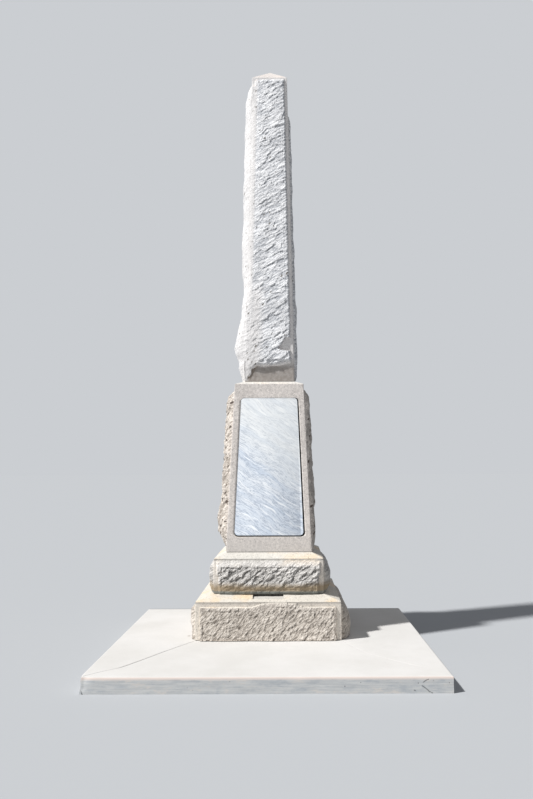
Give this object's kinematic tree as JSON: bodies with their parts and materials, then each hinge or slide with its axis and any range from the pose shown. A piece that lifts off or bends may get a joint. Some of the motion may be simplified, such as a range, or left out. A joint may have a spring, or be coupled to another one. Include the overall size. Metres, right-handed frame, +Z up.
{
  "type": "granite memorial obelisk",
  "caption": "Rock-faced granite obelisk on a stepped base, with a tapered die, a blank marble tablet and a boss on the shaft, standing in a concrete pad.",
  "frame": {"origin": "middle of the concrete pad's underside", "axes": "+Z up along the obelisk, -Y towards the front with the tablet, +X to the right seen from the front"},
  "size_m": [2.75, 2.444, 5.894],
  "materials": {
    "concrete": "trowelled concrete, pale and sun-bleached, with tooled edges",
    "mortar": "raked setting mortar",
    "base_granite": "pitch-faced granite with drafted margins and a bush-hammered wash, tan, stained brown along the foot",
    "die_granite": "bush-hammered pinkish granite in front, pitch-faced on the other sides",
    "shaft_granite": "pitch-faced pale grey granite with drafted margins",
    "marble": "honed white marble with grey-blue veins"
  },
  "bodies": {
    "root": {"footing": "concrete", "pad": "concrete", "base_bed": "mortar", "lower_base": "base_granite", "step_bed": "mortar", "upper_base": "base_granite", "die_bed": "mortar", "die": "die_granite", "tablet": "marble", "shaft_bed": "mortar", "shaft": "shaft_granite"}
  },
  "joints": []
}
